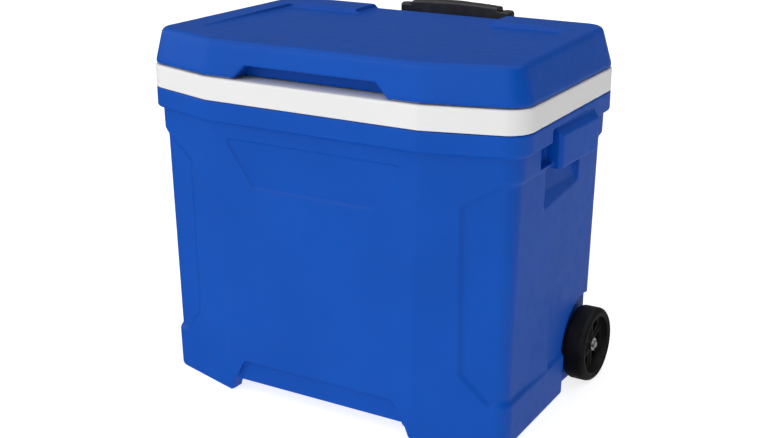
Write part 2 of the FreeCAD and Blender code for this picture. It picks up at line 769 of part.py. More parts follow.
def make_hinge_bracket(side):
    """Plate on the back of the rim with two knuckles for the pin."""
    x = side * HINGE_X
    half = HINGE_WIDTH / 2
    shape = box((x - half, x + half), (BRACKET_FACE, BRACKET_BACK), (BRACKET_LOW, BRACKET_HIGH))
    for low, high in ((x - half, x - half + KNUCKLE), (x + half - KNUCKLE, x + half)):
        arm = box((low, high), (BRACKET_FACE, BRACKET_BACK), (BRACKET_HIGH - 1, HINGE_Z))
        shape = shape.fuse(arm).fuse(rod_x(KNUCKLE_RADIUS, (low, high), HINGE_DEPTH, HINGE_Z))
    shape = shape.removeSplitter()
    shape = shape.cut(rod_x(PIN_RADIUS + PRESSED, (x - OUTSIDE, x + OUTSIDE), HINGE_DEPTH, HINGE_Z))
    for dx in (-BRACKET_SCREW_X, BRACKET_SCREW_X):
        depth = (BRACKET_FACE - 1, BRACKET_BACK + 1)
        shape = shape.cut(rod_y(SCREW_RADIUS + HOLE_SLACK, x + dx, depth, BRACKET_SCREW_Z))
    return shape


def make_hinge_leaf(side):
    """Leaf on the lid's rear wall with one knuckle between the bracket's two."""
    half = HINGE_WIDTH / 2 - KNUCKLE - KNUCKLE_GAP
    x = side * HINGE_X
    face, back = LEAF_SEAT, LEAF_SEAT + LEAF_THICK
    outline = [
        (lid_wall_depth(LEAF_LOW) + face, LEAF_LOW),
        (lid_wall_depth(LEAF_LOW) + back, LEAF_LOW),
        (lid_wall_depth(LEAF_HIGH) + back, LEAF_HIGH),
        (lid_wall_depth(LEAF_HIGH) + face, LEAF_HIGH),
    ]
    leaf = prism_x(outline, (x - half, x + half))
    knuckle = rod_x(KNUCKLE_RADIUS, (x - half, x + half), HINGE_DEPTH, HINGE_Z)
    leaf = leaf.fuse(knuckle.cut(lid_wall_block())).removeSplitter()
    leaf = leaf.cut(rod_x(PIN_RADIUS + RUNNING, (x - OUTSIDE, x + OUTSIDE), HINGE_DEPTH, HINGE_Z))
    for hole in leaf_screw_rods(side, SCREW_RADIUS + HOLE_SLACK, LEAF_SCREW_LENGTH):
        leaf = leaf.cut(hole)
    return leaf


def lid_wall_block():
    """Everything in front of the lid's rear wall, plus the leaf's seat."""
    low, high = LEAF_LOW - 10, LEAF_HIGH + 10
    outline = [
        (0, low),
        (lid_wall_depth(low) + LEAF_SEAT, low),
        (lid_wall_depth(LID_SHOULDER) + LEAF_SEAT, LID_SHOULDER),
        (lid_wall_depth(high) + LEAF_SEAT, high),
        (0, high),
    ]
    return prism_x(outline, (-OUTSIDE, OUTSIDE))


def leaf_screw_rods(side, radius, length):
    """Rods through the leaf and this far into the lid, along the wall's normal."""
    normal = wall_normal()
    rods = []
    for z in LEAF_SCREWS:
        foot = Vector(side * HINGE_X, y_at(lid_wall_depth(z) + LEAF_SEAT), z)
        rods.append(Part.makeCylinder(radius, length + 2 * LEAF_THICK, foot - normal * length, normal))
    return rods


def make_hinge_pin(side):
    x = side * HINGE_X
    half = HINGE_WIDTH / 2
    head_end = x - half - GAP
    pin = rod_x(PIN_RADIUS, (head_end, x + half + PIN_END), HINGE_DEPTH, HINGE_Z)
    head = rod_x(PIN_RADIUS + PIN_HEAD, (head_end - PIN_HEAD_LENGTH, head_end), HINGE_DEPTH, HINGE_Z)
    return pin.fuse(head).removeSplitter()


def screw(head_seat, direction, length=SCREW_LENGTH, head_size=SCREW_HEAD):
    """Pan-head screw: the head sits on head_seat and the shank runs back from it."""
    head_radius, head_height = head_size
    head = Part.makeCylinder(head_radius, head_height, head_seat + direction * HEAD_GAP, direction)
    rim = [e for e in head.Edges if edge_middle(e).distanceToPoint(head_seat) > head_height]
    head = head.makeFillet(SCREW_HEAD_ROUND, rim[:1])
    shank = Part.makeCylinder(SCREW_RADIUS, length + 1, head_seat + direction, direction * -1)
    return head.fuse(shank).removeSplitter()


def make_lid_hinge_screws():
    seat = LEAF_SEAT + LEAF_THICK
    shapes = []
    for side in (-1, 1):
        for z in LEAF_SCREWS:
            foot = Vector(side * HINGE_X, y_at(lid_wall_depth(z)), z) + wall_normal() * seat
            shapes.append(screw(foot, wall_normal(), LEAF_SCREW_LENGTH, LEAF_SCREW_HEAD))
    return shapes


def lid_screw_holes(extra=0.0):
    radius = SCREW_RADIUS + HOLE_SLACK + extra
    length = LEAF_SCREW_LENGTH + 2 + extra
    return [rod for side in (-1, 1) for rod in leaf_screw_rods(side, radius, length)]


def bracket_screw_spots():
    """X and Z of the screws through both hinge brackets."""
    offsets = (-BRACKET_SCREW_X, BRACKET_SCREW_X)
    return [(side * HINGE_X + dx, BRACKET_SCREW_Z) for side in (-1, 1) for dx in offsets]


def straight_screws(spots, seat, length):
    """Screws driven in from the back at these X and Z."""
    back = Vector(0, 1, 0)
    return [screw(Vector(x, y_at(seat), z), back, length) for x, z in spots]


def back_holes(shape, spots):
    """The shape with clearance holes right through it at these X and Z."""
    for x, z in spots:
        shape = shape.cut(rod_y(SCREW_RADIUS + HOLE_SLACK, x, (RIM_DEPTH / 2, HOUSING_BACK), z))
    return shape


# ---- tow handle ----------------------------------------------------------

def back_wall_depth(z):
    return RIM_DEPTH - STEP_IN - DRAFT_REAR * (RIM_LOW - z)


def sleeve_block(side, z, front):
    """Block around one outer tube, rounded at the back."""
    x = side * TUBE_X
    half = HOUSING_HALF - TUBE_X
    centre = HOUSING_BACK - half
    block = box((x - half, x + half), (front, centre), z)
    return block.fuse(rod_z(half, x, centre, z))


def make_handle_housing():
    """Upper bracket: plate on the rim, a sleeve for each tube and a shelf."""
    z = (HOUSING_LOW, HOUSING_TOP)
    plate = box((-HOUSING_HALF, HOUSING_HALF), (BRACKET_FACE, HOUSING_PLATE), z)
    shelf_depth = (HOUSING_PLATE - 1, HOUSING_BACK - SHELF_SETBACK)
    shelf = box((-TUBE_X, TUBE_X), shelf_depth, (HOUSING_TOP - SHELF_THICK, HOUSING_TOP))
    shape = fuse([plate, shelf] + [sleeve_block(side, z, HOUSING_PLATE - 1) for side in (-1, 1)])
    for side in (-1, 1):
        through = (0, HOUSING_TOP + SHELF_THICK)
        shape = shape.cut(rod_z(OUTER_TUBE[0] + TUBE_SLACK, side * TUBE_X, TUBE_DEPTH, through))
    return back_holes(shape, HOUSING_SCREWS)


def make_handle_foot():
    """Lower bracket that the outer tubes stand in."""
    z = (FOOT_LOW, FOOT_TOP)
    front = back_wall_depth(FOOT_TOP) + GAP
    plate = box((-HOUSING_HALF, HOUSING_HALF), (front, FOOT_PLATE_BACK), z)
    shape = fuse([plate] + [sleeve_block(side, z, FOOT_PLATE_BACK - 1) for side in (-1, 1)])
    for side in (-1, 1):
        socket = (OUTER_SPAN[0], OUTSIDE)
        shape = shape.cut(rod_z(OUTER_TUBE[0] + TUBE_SLACK, side * TUBE_X, TUBE_DEPTH, socket))
    return back_holes(shape, FOOT_SCREWS)


def make_guide_bush(side):
    """Bush pressed into the top of an outer tube."""
    x = side * TUBE_X
    bore = MIDDLE_TUBE[0] + RUNNING
    span = (OUTER_SPAN[1] - BUSH_LENGTH, BUSH_TOP)
    sleeve = tube_z((OUTER_TUBE[1] - PRESSED, bore), x, TUBE_DEPTH, span)
    flange = tube_z((OUTER_TUBE[0] + 1, bore), x, TUBE_DEPTH, (HOUSING_TOP + TUBE_SLACK, BUSH_TOP))
    return sleeve.fuse(flange).removeSplitter()


def make_middle_collar(side):
    """Collar on top of a middle tube, and the guide for the inner tube."""
    x = side * TUBE_X
    bore = INNER_TUBE[0] + RUNNING
    span = (MIDDLE_SPAN[1] - BUSH_LENGTH, COLLAR[1])
    sleeve = tube_z((MIDDLE_TUBE[1] - PRESSED, bore), x, TUBE_DEPTH, span)
    skirt = tube_z((COLLAR_RADIUS, MIDDLE_TUBE[0] + PRESSED), x, TUBE_DEPTH, COLLAR)
    cap = tube_z((COLLAR_RADIUS, bore), x, TUBE_DEPTH, (MIDDLE_SPAN[1] + TUBE_SLACK, COLLAR[1]))
    return fuse([sleeve, skirt, cap])


def make_tube_foot(side, radii, around, bottom):
    """Plug in a tube's lower end that guides it in the next tube out."""
    x = side * TUBE_X
    guide = rod_z(around[1] - RUNNING, x, TUBE_DEPTH, (bottom - PLUG_OUT, bottom - TUBE_SLACK))
    spigot = rod_z(radii[1] - PRESSED, x, TUBE_DEPTH, (bottom - 1, bottom + PLUG_IN))
    return guide.fuse(spigot).removeSplitter()


def make_tow_grip():
    """Grip bar between two columns, with a channel for the release inside."""
    bar = box((-TUBE_X, TUBE_X), (BAR_FRONT, BAR_BACK), (BAR_LOW, BAR_SHOULDER))
    shapes = [bar, crown_block()]
    for side in (-1, 1):
        column = rod_z(EAR_RADIUS, side * TUBE_X, TUBE_DEPTH, (GRIP_BASE, EAR_TOP))
        shapes.append(round_edges(column, EAR_ROUND, lambda c, e: c.z > EAR_TOP - 0.1))
    shape = fuse(shapes)
    channel_depth = (TUBE_DEPTH - CHANNEL_HALF, TUBE_DEPTH + CHANNEL_HALF)
    shape = shape.cut(box((-TUBE_X, TUBE_X), channel_depth, (CHANNEL_LOW, CHANNEL_TOP)))
    socket = (GRIP_BASE - 1, INNER_SPAN[1] + TUBE_SLACK)
    for side in (-1, 1):
        x = side * TUBE_X
        shape = shape.cut(rod_z(INNER_TUBE[0] + 0.5 * TUBE_SLACK, x, TUBE_DEPTH, socket))
        shape = shape.cut(rod_z(CHANNEL_HALF, x, TUBE_DEPTH, (INNER_SPAN[1] - 1, CHANNEL_TOP)))
    return shape.cut(button_prism(BUTTON_SLACK, (CHANNEL_TOP - 1, BUTTON_TOP + 1)))


def crown_block():
    """Raised, gently arched middle of the grip."""
    y_low, y_high = y_at(BAR_FRONT), y_at(BAR_BACK)
    base = BAR_SHOULDER - BAR_ROUND
    start, end = Vector(-BAR_HALF, y_low, BAR_TOP), Vector(BAR_HALF, y_low, BAR_TOP)
    top = Part.Arc(end, Vector(0, y_low, BAR_TOP + BAR_CROWN), start).toShape()
    low_left, low_right = Vector(-BAR_HALF, y_low, base), Vector(BAR_HALF, y_low, base)
    wire = Part.Wire(
        [
            Part.makeLine(low_left, low_right),
            Part.makeLine(low_right, end),
            top,
            Part.makeLine(start, low_left),
        ]
    )
    block = Part.Face(wire).extrude(Vector(0, y_high - y_low, 0))
    return round_edges(block, BAR_ROUND, lambda c, e: c.z > BAR_TOP - 0.5)


def button_prism(grow, z):
    """Lens-shaped prism standing on end, from two arcs."""
    half, reach = BUTTON_HALF + grow, BUTTON_DEPTH / 2 + grow
    centre = y_at(TUBE_DEPTH)
    left, right = Vector(-half, centre, z[0]), Vector(half, centre, z[0])
    front = Part.Arc(left, Vector(0, centre - reach, z[0]), right).toShape()
    back = Part.Arc(right, Vector(0, centre + reach, z[0]), left).toShape()
    return Part.Face(Part.Wire([front, back])).extrude(Vector(0, 0, z[1] - z[0]))


def make_release_button():
    button = button_prism(0.0, (YOKE_TOP + HEAD_GAP, BUTTON_TOP))
    return round_edges(button, BUTTON_ROUND, lambda c, e: c.z > BUTTON_TOP - 0.1)


def make_release_yoke():
    """Bar that carries the button's push to the rod in each inner tube."""
    half = TUBE_X + YOKE_OVERHANG
    depth = (TUBE_DEPTH - YOKE_HALF, TUBE_DEPTH + YOKE_HALF)
    return box((-half, half), depth, (YOKE_LOW, YOKE_TOP))


def make_release_rod(side):
    span = (INNER_SPAN[0] + BUSH_LENGTH, YOKE_LOW - HEAD_GAP)
    return rod_z(ROD_RADIUS, side * TUBE_X, TUBE_DEPTH, span)


def make_button_spring():
    """Helical spring between the channel floor and the yoke."""
    low, high = CHANNEL_LOW + SPRING_END, YOKE_LOW - SPRING_END
    helix = Part.makeHelix((high - low) / SPRING_TURNS, high - low, SPRING_RADIUS)
    ring = Part.Circle(Vector(SPRING_RADIUS, 0, 0), Vector(0, 1, 0), SPRING_WIRE)
    section = Part.Wire(ring.toShape())
    coil = Part.Wire(helix.Edges).makePipeShell([section], True, True)
    coil.translate(Vector(0, y_at(TUBE_DEPTH), low))
    return coil


# ---- wheels --------------------------------------------------------------

def revolve_x(points, side):
    """Turn an (x, radius) outline about the axle."""
    ring = [Vector(x, y_at(WHEEL_DEPTH), WHEEL_RADIUS + r) for x, r in points]
    face = Part.Face(Part.makePolygon(ring + ring[:1]))
    shape = face.revolve(Vector(0, y_at(WHEEL_DEPTH), WHEEL_RADIUS), Vector(1, 0, 0), 360)
    return shape if side > 0 else shape.mirror(Vector(0, 0, 0), Vector(1, 0, 0))


def make_wheel(side):
    """Moulded wheel: rounded tread, and a pierced disc set back from both faces."""
    inner, outer = WHEEL_INNER, WHEEL_OUTER
    bore = AXLE_RADIUS + RUNNING
    outline = [
        (inner, HUB_RADIUS),
        (inner, bore),
        (outer - HUB_SETBACK, bore),
        (outer - HUB_SETBACK, HUB_RADIUS - 1),
        (outer - HUB_SETBACK - 1, HUB_RADIUS),
        (DISC_FACE, HUB_RADIUS + 1.5),
        (DISC_FACE, DISC_EDGE - 1),
        (outer - 2.6, DISC_EDGE + 1),
        (outer - 1.2, DISC_EDGE + 1.4),
        (outer - 1.2, LIP_RADIUS - 1),
        (outer, LIP_RADIUS),
        (outer, LIP_RADIUS + 1.8),
        (outer - 1.6, WHEEL_RADIUS - 2.2),
        (outer - 3.2, WHEEL_RADIUS - 0.9),
        (outer - 6.0, WHEEL_RADIUS),
        (inner + 5.0, WHEEL_RADIUS),
        (inner + 2.0, WHEEL_RADIUS - 1),
        (inner, WHEEL_RADIUS - 3.5),
        (inner, DISC_EDGE + 2),
        (DISC_BACK, DISC_EDGE),
        (DISC_BACK, HUB_RADIUS + 1.5),
    ]
    wheel = revolve_x(outline, 1)
    for i in range(SPOKES):
        wheel = wheel.fuse(turned(spoke_rib(), i * 360 / SPOKES))
    for i in range(SPOKES):
        wheel = wheel.cut(turned(disc_window(), (i + 0.5) * 360 / SPOKES))
    wheel = wheel.removeSplitter()
    return wheel if side > 0 else wheel.mirror(Vector(0, 0, 0), Vector(1, 0, 0))


def turned(shape, angle):
    """The shape turned about the axle."""
    copy = shape.copy()
    copy.rotate(Vector(0, y_at(WHEEL_DEPTH), WHEEL_RADIUS), Vector(1, 0, 0), angle)
    return copy


def spoke_rib():
    """Low rib on the disc's outer face between two windows."""
    half = RIB_WIDTH / 2
    return box(
        (DISC_FACE - 1, DISC_FACE + RIB_HEIGHT),
        (WHEEL_DEPTH - half, WHEEL_DEPTH + half),
        (WHEEL_RADIUS + HUB_RADIUS - 1, WHEEL_RADIUS + DISC_EDGE),
    )


def disc_window():
    """Rounded triangular opening through the disc."""
    low, high = WHEEL_RADIUS + WINDOW_LOW, WHEEL_RADIUS + WINDOW_HIGH
    corners = [
        (-WINDOW_HALF_LOW, low),
        (WINDOW_HALF_LOW, low),
        (WINDOW_HALF_HIGH, high),
        (-WINDOW_HALF_HIGH, high),
    ]
    ring = [Vector(DISC_BACK - 5, y_at(WHEEL_DEPTH + d), z) for d, z in corners]
    face = Part.Face(rounded_wire(ring, [WINDOW_ROUND_LOW] * 2 + [WINDOW_ROUND_HIGH] * 2))
    return face.extrude(Vector(DISC_FACE - DISC_BACK + 10, 0, 0))


def ring_x(radii, x, side):
    low, high = sorted((side * x[0], side * x[1]))
    outer = rod_x(radii[0], (low, high), WHEEL_DEPTH, WHEEL_RADIUS)
    return outer.cut(rod_x(radii[1], (low - 1, high + 1), WHEEL_DEPTH, WHEEL_RADIUS))


def make_axle():
    axle = rod_x(AXLE_RADIUS, (-AXLE_END, AXLE_END), WHEEL_DEPTH, WHEEL_RADIUS)
    return bevel_edges(axle, AXLE_BEVEL, lambda c, e: abs(abs(c.x) - AXLE_END) < 0.1)


def make_axle_sleeve():
    end = WELL_WALL + SLEEVE_END
    return ring_x((SLEEVE_RADIUS, AXLE_RADIUS + AXLE_SLACK), (-end, end), 1)


def make_axle_washer(side):
    x = (WELL_WALL + SLEEVE_END + 0.5, WHEEL_INNER - GAP)
    return ring_x((WASHER_RADIUS, AXLE_RADIUS + AXLE_SLACK), x, side)


def make_axle_cap(side):
    """Ring pressed on the axle outside the wheel's hub."""
    x = (WHEEL_OUTER - CAP_BACK, WHEEL_OUTER - CAP_FACE)
    return ring_x((CAP_RADIUS, AXLE_RADIUS + PRESSED), x, side)


def body_screw_holes(extra=0.0):
    """Pilot holes in the shell for the hinge brackets and the handle's two."""
    radius = SCREW_RADIUS + HOLE_SLACK + extra
    spots = bracket_screw_spots() + HOUSING_SCREWS + FOOT_SCREWS
    start = RIM_DEPTH - STEP_IN - PILOT_DEPTH - extra
    return [rod_y(radius, x, (start, RIM_DEPTH + 5), z) for x, z in spots]


def make_nodes():
    """Every sub-part by node name."""
    nodes = {
        "body_shell": make_body_shell(),
        "body_foam": make_body_foam(),
        "inner_liner": make_inner_liner(),
        "lid_shell": make_lid_shell(),
        "lid_foam": make_lid_foam(),
        "lid_liner": make_lid_liner(),
        "lid_hinge_screws": Part.makeCompound(make_lid_hinge_screws()),
        "body_hinge_screws": Part.makeCompound(
            straight_screws(bracket_screw_spots(), BRACKET_BACK, SCREW_LENGTH)
        ),
        "handle_housing": make_handle_housing(),
        "handle_foot": make_handle_foot(),
        "housing_screws": Part.makeCompound(
            straight_screws(HOUSING_SCREWS, HOUSING_PLATE, HOUSING_SCREW_LENGTH)
        ),
        "foot_screws": Part.makeCompound(
            straight_screws(FOOT_SCREWS, FOOT_PLATE_BACK, FOOT_SCREW_LENGTH)
        ),
        "tow_grip": make_tow_grip(),
        "release_button": make_release_button(),
        "release_yoke": make_release_yoke(),
        "button_spring": make_button_spring(),
        "axle": make_axle(),
        "axle_sleeve": make_axle_sleeve(),
    }
    for name, side in (("left", -1), ("right", 1)):
        nodes[f"hinge_bracket_{name}"] = make_hinge_bracket(side)
        nodes[f"hinge_leaf_{name}"] = make_hinge_leaf(side)
        nodes[f"hinge_pin_{name}"] = make_hinge_pin(side)
        nodes[f"outer_tube_{name}"] = tube_z(OUTER_TUBE, side * TUBE_X, TUBE_DEPTH, OUTER_SPAN)
        nodes[f"middle_tube_{name}"] = tube_z(MIDDLE_TUBE, side * TUBE_X, TUBE_DEPTH, MIDDLE_SPAN)
        nodes[f"inner_tube_{name}"] = tube_z(INNER_TUBE, side * TUBE_X, TUBE_DEPTH, INNER_SPAN)
        nodes[f"guide_bush_{name}"] = make_guide_bush(side)
        nodes[f"middle_collar_{name}"] = make_middle_collar(side)
        nodes[f"middle_foot_{name}"] = make_tube_foot(side, MIDDLE_TUBE, OUTER_TUBE, MIDDLE_SPAN[0])
        nodes[f"inner_foot_{name}"] = make_tube_foot(side, INNER_TUBE, MIDDLE_TUBE, INNER_SPAN[0])
        nodes[f"release_rod_{name}"] = make_release_rod(side)
        nodes[f"wheel_{name}"] = make_wheel(side)
        nodes[f"axle_washer_{name}"] = make_axle_washer(side)
        nodes[f"axle_cap_{name}"] = make_axle_cap(side)
    return nodes


os.makedirs("parts", exist_ok=True)
for node, shape in make_nodes().items():
    save(node, shape)
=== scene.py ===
import json
import math

import bmesh
import bpy
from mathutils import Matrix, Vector


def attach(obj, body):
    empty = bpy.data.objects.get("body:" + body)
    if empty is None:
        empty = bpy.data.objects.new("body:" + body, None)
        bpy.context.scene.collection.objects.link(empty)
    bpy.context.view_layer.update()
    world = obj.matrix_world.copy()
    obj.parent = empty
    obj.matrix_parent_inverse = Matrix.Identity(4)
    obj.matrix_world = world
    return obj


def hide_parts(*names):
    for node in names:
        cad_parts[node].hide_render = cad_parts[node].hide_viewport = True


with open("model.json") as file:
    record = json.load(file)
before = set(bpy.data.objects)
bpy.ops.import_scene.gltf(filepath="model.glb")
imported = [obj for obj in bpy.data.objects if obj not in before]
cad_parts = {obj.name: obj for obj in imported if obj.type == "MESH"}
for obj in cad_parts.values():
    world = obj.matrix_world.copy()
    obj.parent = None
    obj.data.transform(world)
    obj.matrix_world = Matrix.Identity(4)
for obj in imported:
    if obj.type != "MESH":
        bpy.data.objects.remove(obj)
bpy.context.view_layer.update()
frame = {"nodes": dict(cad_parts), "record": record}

# Metres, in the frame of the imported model: +X right, +Y back, +Z up, floor at z = 0.

# ---- camera, floor and light -----------------------------------------------

CAMERA_TARGET = Vector((0.0027, -0.0045, 0.1829))
CAMERA_DISTANCE = 1.487
CAMERA_AZIMUTH = math.radians(31.064)
CAMERA_ELEVATION = math.radians(17.964)
CAMERA_LENS = 59.81        # mm
CAMERA_SENSOR = 36         # mm wide

# The key light: azimuth, elevation and spread in degrees, and its strength
KEY_AZIMUTH, KEY_ELEVATION, KEY_SPREAD, KEY_STRENGTH = -20, 34, 35, 0.5

# The studio as a light: its faintly warm colour, and the brightness of its glows
GLOW_COLOUR = (1.0, 0.985, 0.98, 1)
GLOW_FRONT, GLOW_BACK, GLOW_FLOOR, GLOW_OVERHEAD = 1.3, 0.14, 0.4, 1.0
BACK_RIGHT = (0.5, 0.86, 0)

# Smooth changes over the height of a unit ray: start, end, and the value at each
HORIZON_RISE = (0.0, 0.12, 0, 1)
UPWARD_FADE = (0.3, 0.6, 1, 0.3)
OVERHEAD_RISE = (0.45, 0.95, 0, GLOW_OVERHEAD)
DOWNWARD_RISE = (-0.12, 0.12, 1, 0)

# The same over how far the ray points to the back right
UPPER_FADE = (-0.75, 0.1, GLOW_FRONT, GLOW_BACK)
LOWER_RISE = (-0.3, 0.5, 0.0, GLOW_FLOOR)

FLOOR_RADIUS, FLOOR_SIDES = 40, 96
FLOOR_COLOUR = (0.5, 0.5, 0.5, 1)
FLOOR_ROUGHNESS = 0.9
FLOOR_EMISSION = 0.8
WHITE = (1, 1, 1, 1)


def direction(azimuth, elevation):
    """Unit vector towards a place at this azimuth (0 is the front) and elevation."""
    flat = math.cos(elevation)
    return Vector((math.sin(azimuth) * flat, -math.cos(azimuth) * flat, math.sin(elevation)))


def link(obj):
    bpy.context.scene.collection.objects.link(obj)
    return obj


def make_camera():
    data = bpy.data.cameras.new("camera")
    data.sensor_width = CAMERA_SENSOR
    data.lens = CAMERA_LENS
    camera = link(bpy.data.objects.new("camera", data))
    back = direction(CAMERA_AZIMUTH, CAMERA_ELEVATION)
    camera.location = CAMERA_TARGET + back * CAMERA_DISTANCE
    camera.rotation_euler = (-back).to_track_quat("-Z", "Y").to_euler()
    bpy.context.scene.camera = camera


def make_key_light():
    data = bpy.data.lights.new("key", "SUN")
    data.energy = KEY_STRENGTH
    data.angle = math.radians(KEY_SPREAD)
    sun = link(bpy.data.objects.new("key", data))
    towards = direction(math.radians(KEY_AZIMUTH), math.radians(KEY_ELEVATION))
    sun.rotation_euler = towards.to_track_quat("Z", "Y").to_euler()


class Tree:
    """Helpers that add nodes to a node tree and return their outputs."""

    def __init__(self, tree):
        self.nodes, self.links = tree.nodes, tree.links

    def remap(self, value, start, end, low, high, curve="LINEAR"):
        """Low to high as the value goes from start to end."""
        node = self.nodes.new("ShaderNodeMapRange")
        node.interpolation_type = curve
        limits = {"From Min": start, "From Max": end, "To Min": low, "To Max": high}
        for name, number in limits.items():
            node.inputs[name].default_value = number
        self.links.new(value, node.inputs["Value"])
        return node.outputs["Result"]

    def maths(self, operation, first, second):
        node = self.nodes.new("ShaderNodeMath")
        node.operation = operation
        self.links.new(first, node.inputs[0])
        self.links.new(second, node.inputs[1])
        return node.outputs[0]

    def add(self, first, second):
        return self.maths("ADD", first, second)

    def background(self, colour):
        node = self.nodes.new("ShaderNodeBackground")
        node.inputs["Color"].default_value = colour
        return node

    def by_ray(self, kind, others, these):
        """One shader for rays of this kind and another for all others."""
        path = self.nodes.new("ShaderNodeLightPath")
        mix = self.nodes.new("ShaderNodeMixShader")
        for output, place in zip((path.outputs[kind], others, these), mix.inputs):
            self.links.new(output, place)
        return mix.outputs[0]


def studio_light(tree):
    """Strength of the light from each direction: bright above the horizon at the front
    left and dim at the back right, with one glow overhead and one low at the back right."""
    ray = tree.nodes.new("ShaderNodeTexCoord").outputs["Generated"]
    axes = tree.nodes.new("ShaderNodeSeparateXYZ")
    tree.links.new(ray, axes.inputs[0])
    height = axes.outputs["Z"]
    product = tree.nodes.new("ShaderNodeVectorMath")
    product.operation = "DOT_PRODUCT"
    tree.links.new(ray, product.inputs[0])
    product.inputs[1].default_value = BACK_RIGHT
    away = product.outputs["Value"]

    def smooth(value, change):
        return tree.remap(value, *change, curve="SMOOTHSTEP")

    def times(first, second):
        return tree.maths("MULTIPLY", first, second)

    above = times(smooth(height, HORIZON_RISE), smooth(height, UPWARD_FADE))
    upper = times(smooth(away, UPPER_FADE), above)
    lower = times(smooth(away, LOWER_RISE), smooth(height, DOWNWARD_RISE))
    return tree.add(tree.add(upper, lower), smooth(height, OVERHEAD_RISE))


def make_world():
    """White where the camera looks past the floor, and a studio as a light."""
    world = bpy.data.worlds.new("studio")
    bpy.context.scene.world = world
    world.use_nodes = True
    world.node_tree.nodes.clear()
    tree = Tree(world.node_tree)
    around, seen = tree.background(GLOW_COLOUR), tree.background(WHITE)
    tree.links.new(studio_light(tree), around.inputs["Strength"])
    surface = tree.by_ray("Is Camera Ray", around.outputs[0], seen.outputs[0])
    tree.links.new(surface, tree.nodes.new("ShaderNodeOutputWorld").inputs["Surface"])


def floor_material():
    """Pale floor, clear in reflections, which show the studio below it instead."""
    material = bpy.data.materials.new("studio_floor")
    material.use_nodes = True
    surface = material.node_tree.nodes["Principled BSDF"]
    surface.inputs["Base Color"].default_value = FLOOR_COLOUR
    surface.inputs["Roughness"].default_value = FLOOR_ROUGHNESS
    surface.inputs["Specular IOR Level"].default_value = 0.0
    surface.inputs["Emission Color"].default_value = WHITE
    surface.inputs["Emission Strength"].default_value = FLOOR_EMISSION
    tree = Tree(material.node_tree)
    clear = tree.nodes.new("ShaderNodeBsdfTransparent").outputs[0]
    result = tree.by_ray("Is Glossy Ray", surface.outputs["BSDF"], clear)
    tree.links.new(result, tree.nodes["Material Output"].inputs["Surface"])
    material.cycles.emission_sampling = "NONE"
    return material


def make_floor():
    mesh = bpy.data.meshes.new("floor")
    shape = bmesh.new()
    bmesh.ops.create_circle(shape, cap_ends=True, segments=FLOOR_SIDES, radius=FLOOR_RADIUS)
    shape.to_mesh(mesh)
    shape.free()
    mesh.materials.append(floor_material())
    floor = link(bpy.data.objects.new("floor", mesh))


# ---- materials -------------------------------------------------------------

NOISE_RANGE = (0.3, 0.7)   # where nearly all of a noise pattern's values lie
PEBBLE_SMOOTHNESS = 0.6


class Surface(Tree):
    """A Principled material with helpers for the patterns that drive it."""

    def __init__(self, name, colour, roughness, specular=0.5, metallic=0.0):
        self.material = bpy.data.materials.new(name)
        self.material.use_nodes = True
        super().__init__(self.material.node_tree)
        self.shader = self.nodes["Principled BSDF"]
        self.shader.inputs["Base Color"].default_value = (*colour, 1)
        self.colour = colour
        self.shader.inputs["Roughness"].default_value = roughness
        self.shader.inputs["Specular IOR Level"].default_value = specular
        self.shader.inputs["Metallic"].default_value = metallic
        self.place = self.nodes.new("ShaderNodeTexCoord").outputs["Object"]

    def noise(self, scale, detail, stretch=(1, 1, 1)):
        """Noise with features about 1 / scale metres across."""
        mapping = self.nodes.new("ShaderNodeMapping")
        mapping.inputs["Scale"].default_value = stretch
        texture = self.nodes.new("ShaderNodeTexNoise")
        texture.inputs["Scale"].default_value = scale
        texture.inputs["Detail"].default_value = detail
        self.links.new(self.place, mapping.inputs["Vector"])
        self.links.new(mapping.outputs[0], texture.inputs["Vector"])
        return texture.outputs["Fac"]

    def cells(self, scale):
        """Pebbled cells about 1 / scale metres across."""
        texture = self.nodes.new("ShaderNodeTexVoronoi")
        texture.feature = "SMOOTH_F1"
        texture.inputs["Scale"].default_value = scale
        texture.inputs["Smoothness"].default_value = PEBBLE_SMOOTHNESS
        self.links.new(self.place, texture.inputs["Vector"])
        return texture.outputs["Distance"]

    def mottle(self, noise, dark, light):
        """Base colour between two shades of the material's own."""
        node = self.nodes.new("ShaderNodeMix")
        node.data_type = "RGBA"
        for name, shade in (("A", dark), ("B", light)):
            node.inputs[name].default_value = (*(part * shade for part in self.colour), 1)
        self.links.new(self.remap(noise, *NOISE_RANGE, 0, 1), node.inputs["Factor"])
        self.links.new(node.outputs["Result"], self.shader.inputs["Base Color"])

    def roughen(self, noise, low, high):
        """Roughness between two values."""
        self.links.new(self.remap(noise, *NOISE_RANGE, low, high), self.shader.inputs["Roughness"])

    def bump(self, height, depth, strength):
        """Relief of this depth in metres."""
        node = self.nodes.new("ShaderNodeBump")
        node.inputs["Distance"].default_value = depth
        node.inputs["Strength"].default_value = strength
        self.links.new(height, node.inputs["Height"])
        self.links.new(node.outputs["Normal"], self.shader.inputs["Normal"])


def moulded_blue():
    s = Surface("moulded_blue", (0.0001, 0.073, 0.435), 0.38, specular=0.16)
    s.mottle(s.noise(9, 3), 0.95, 1.05)
    s.roughen(s.noise(60, 4), 0.33, 0.43)
    s.bump(s.add(s.cells(950), s.noise(1900, 1)), 0.0001, 0.35)
    return s.material


def moulded_white():
    s = Surface("moulded_white", (0.78, 0.785, 0.79), 0.4, specular=0.4)
    s.mottle(s.noise(7, 3), 0.975, 1.015)
    s.roughen(s.noise(70, 4), 0.34, 0.46)
    s.bump(s.add(s.cells(1300), s.noise(2400, 1)), 0.00005, 0.5)
    return s.material


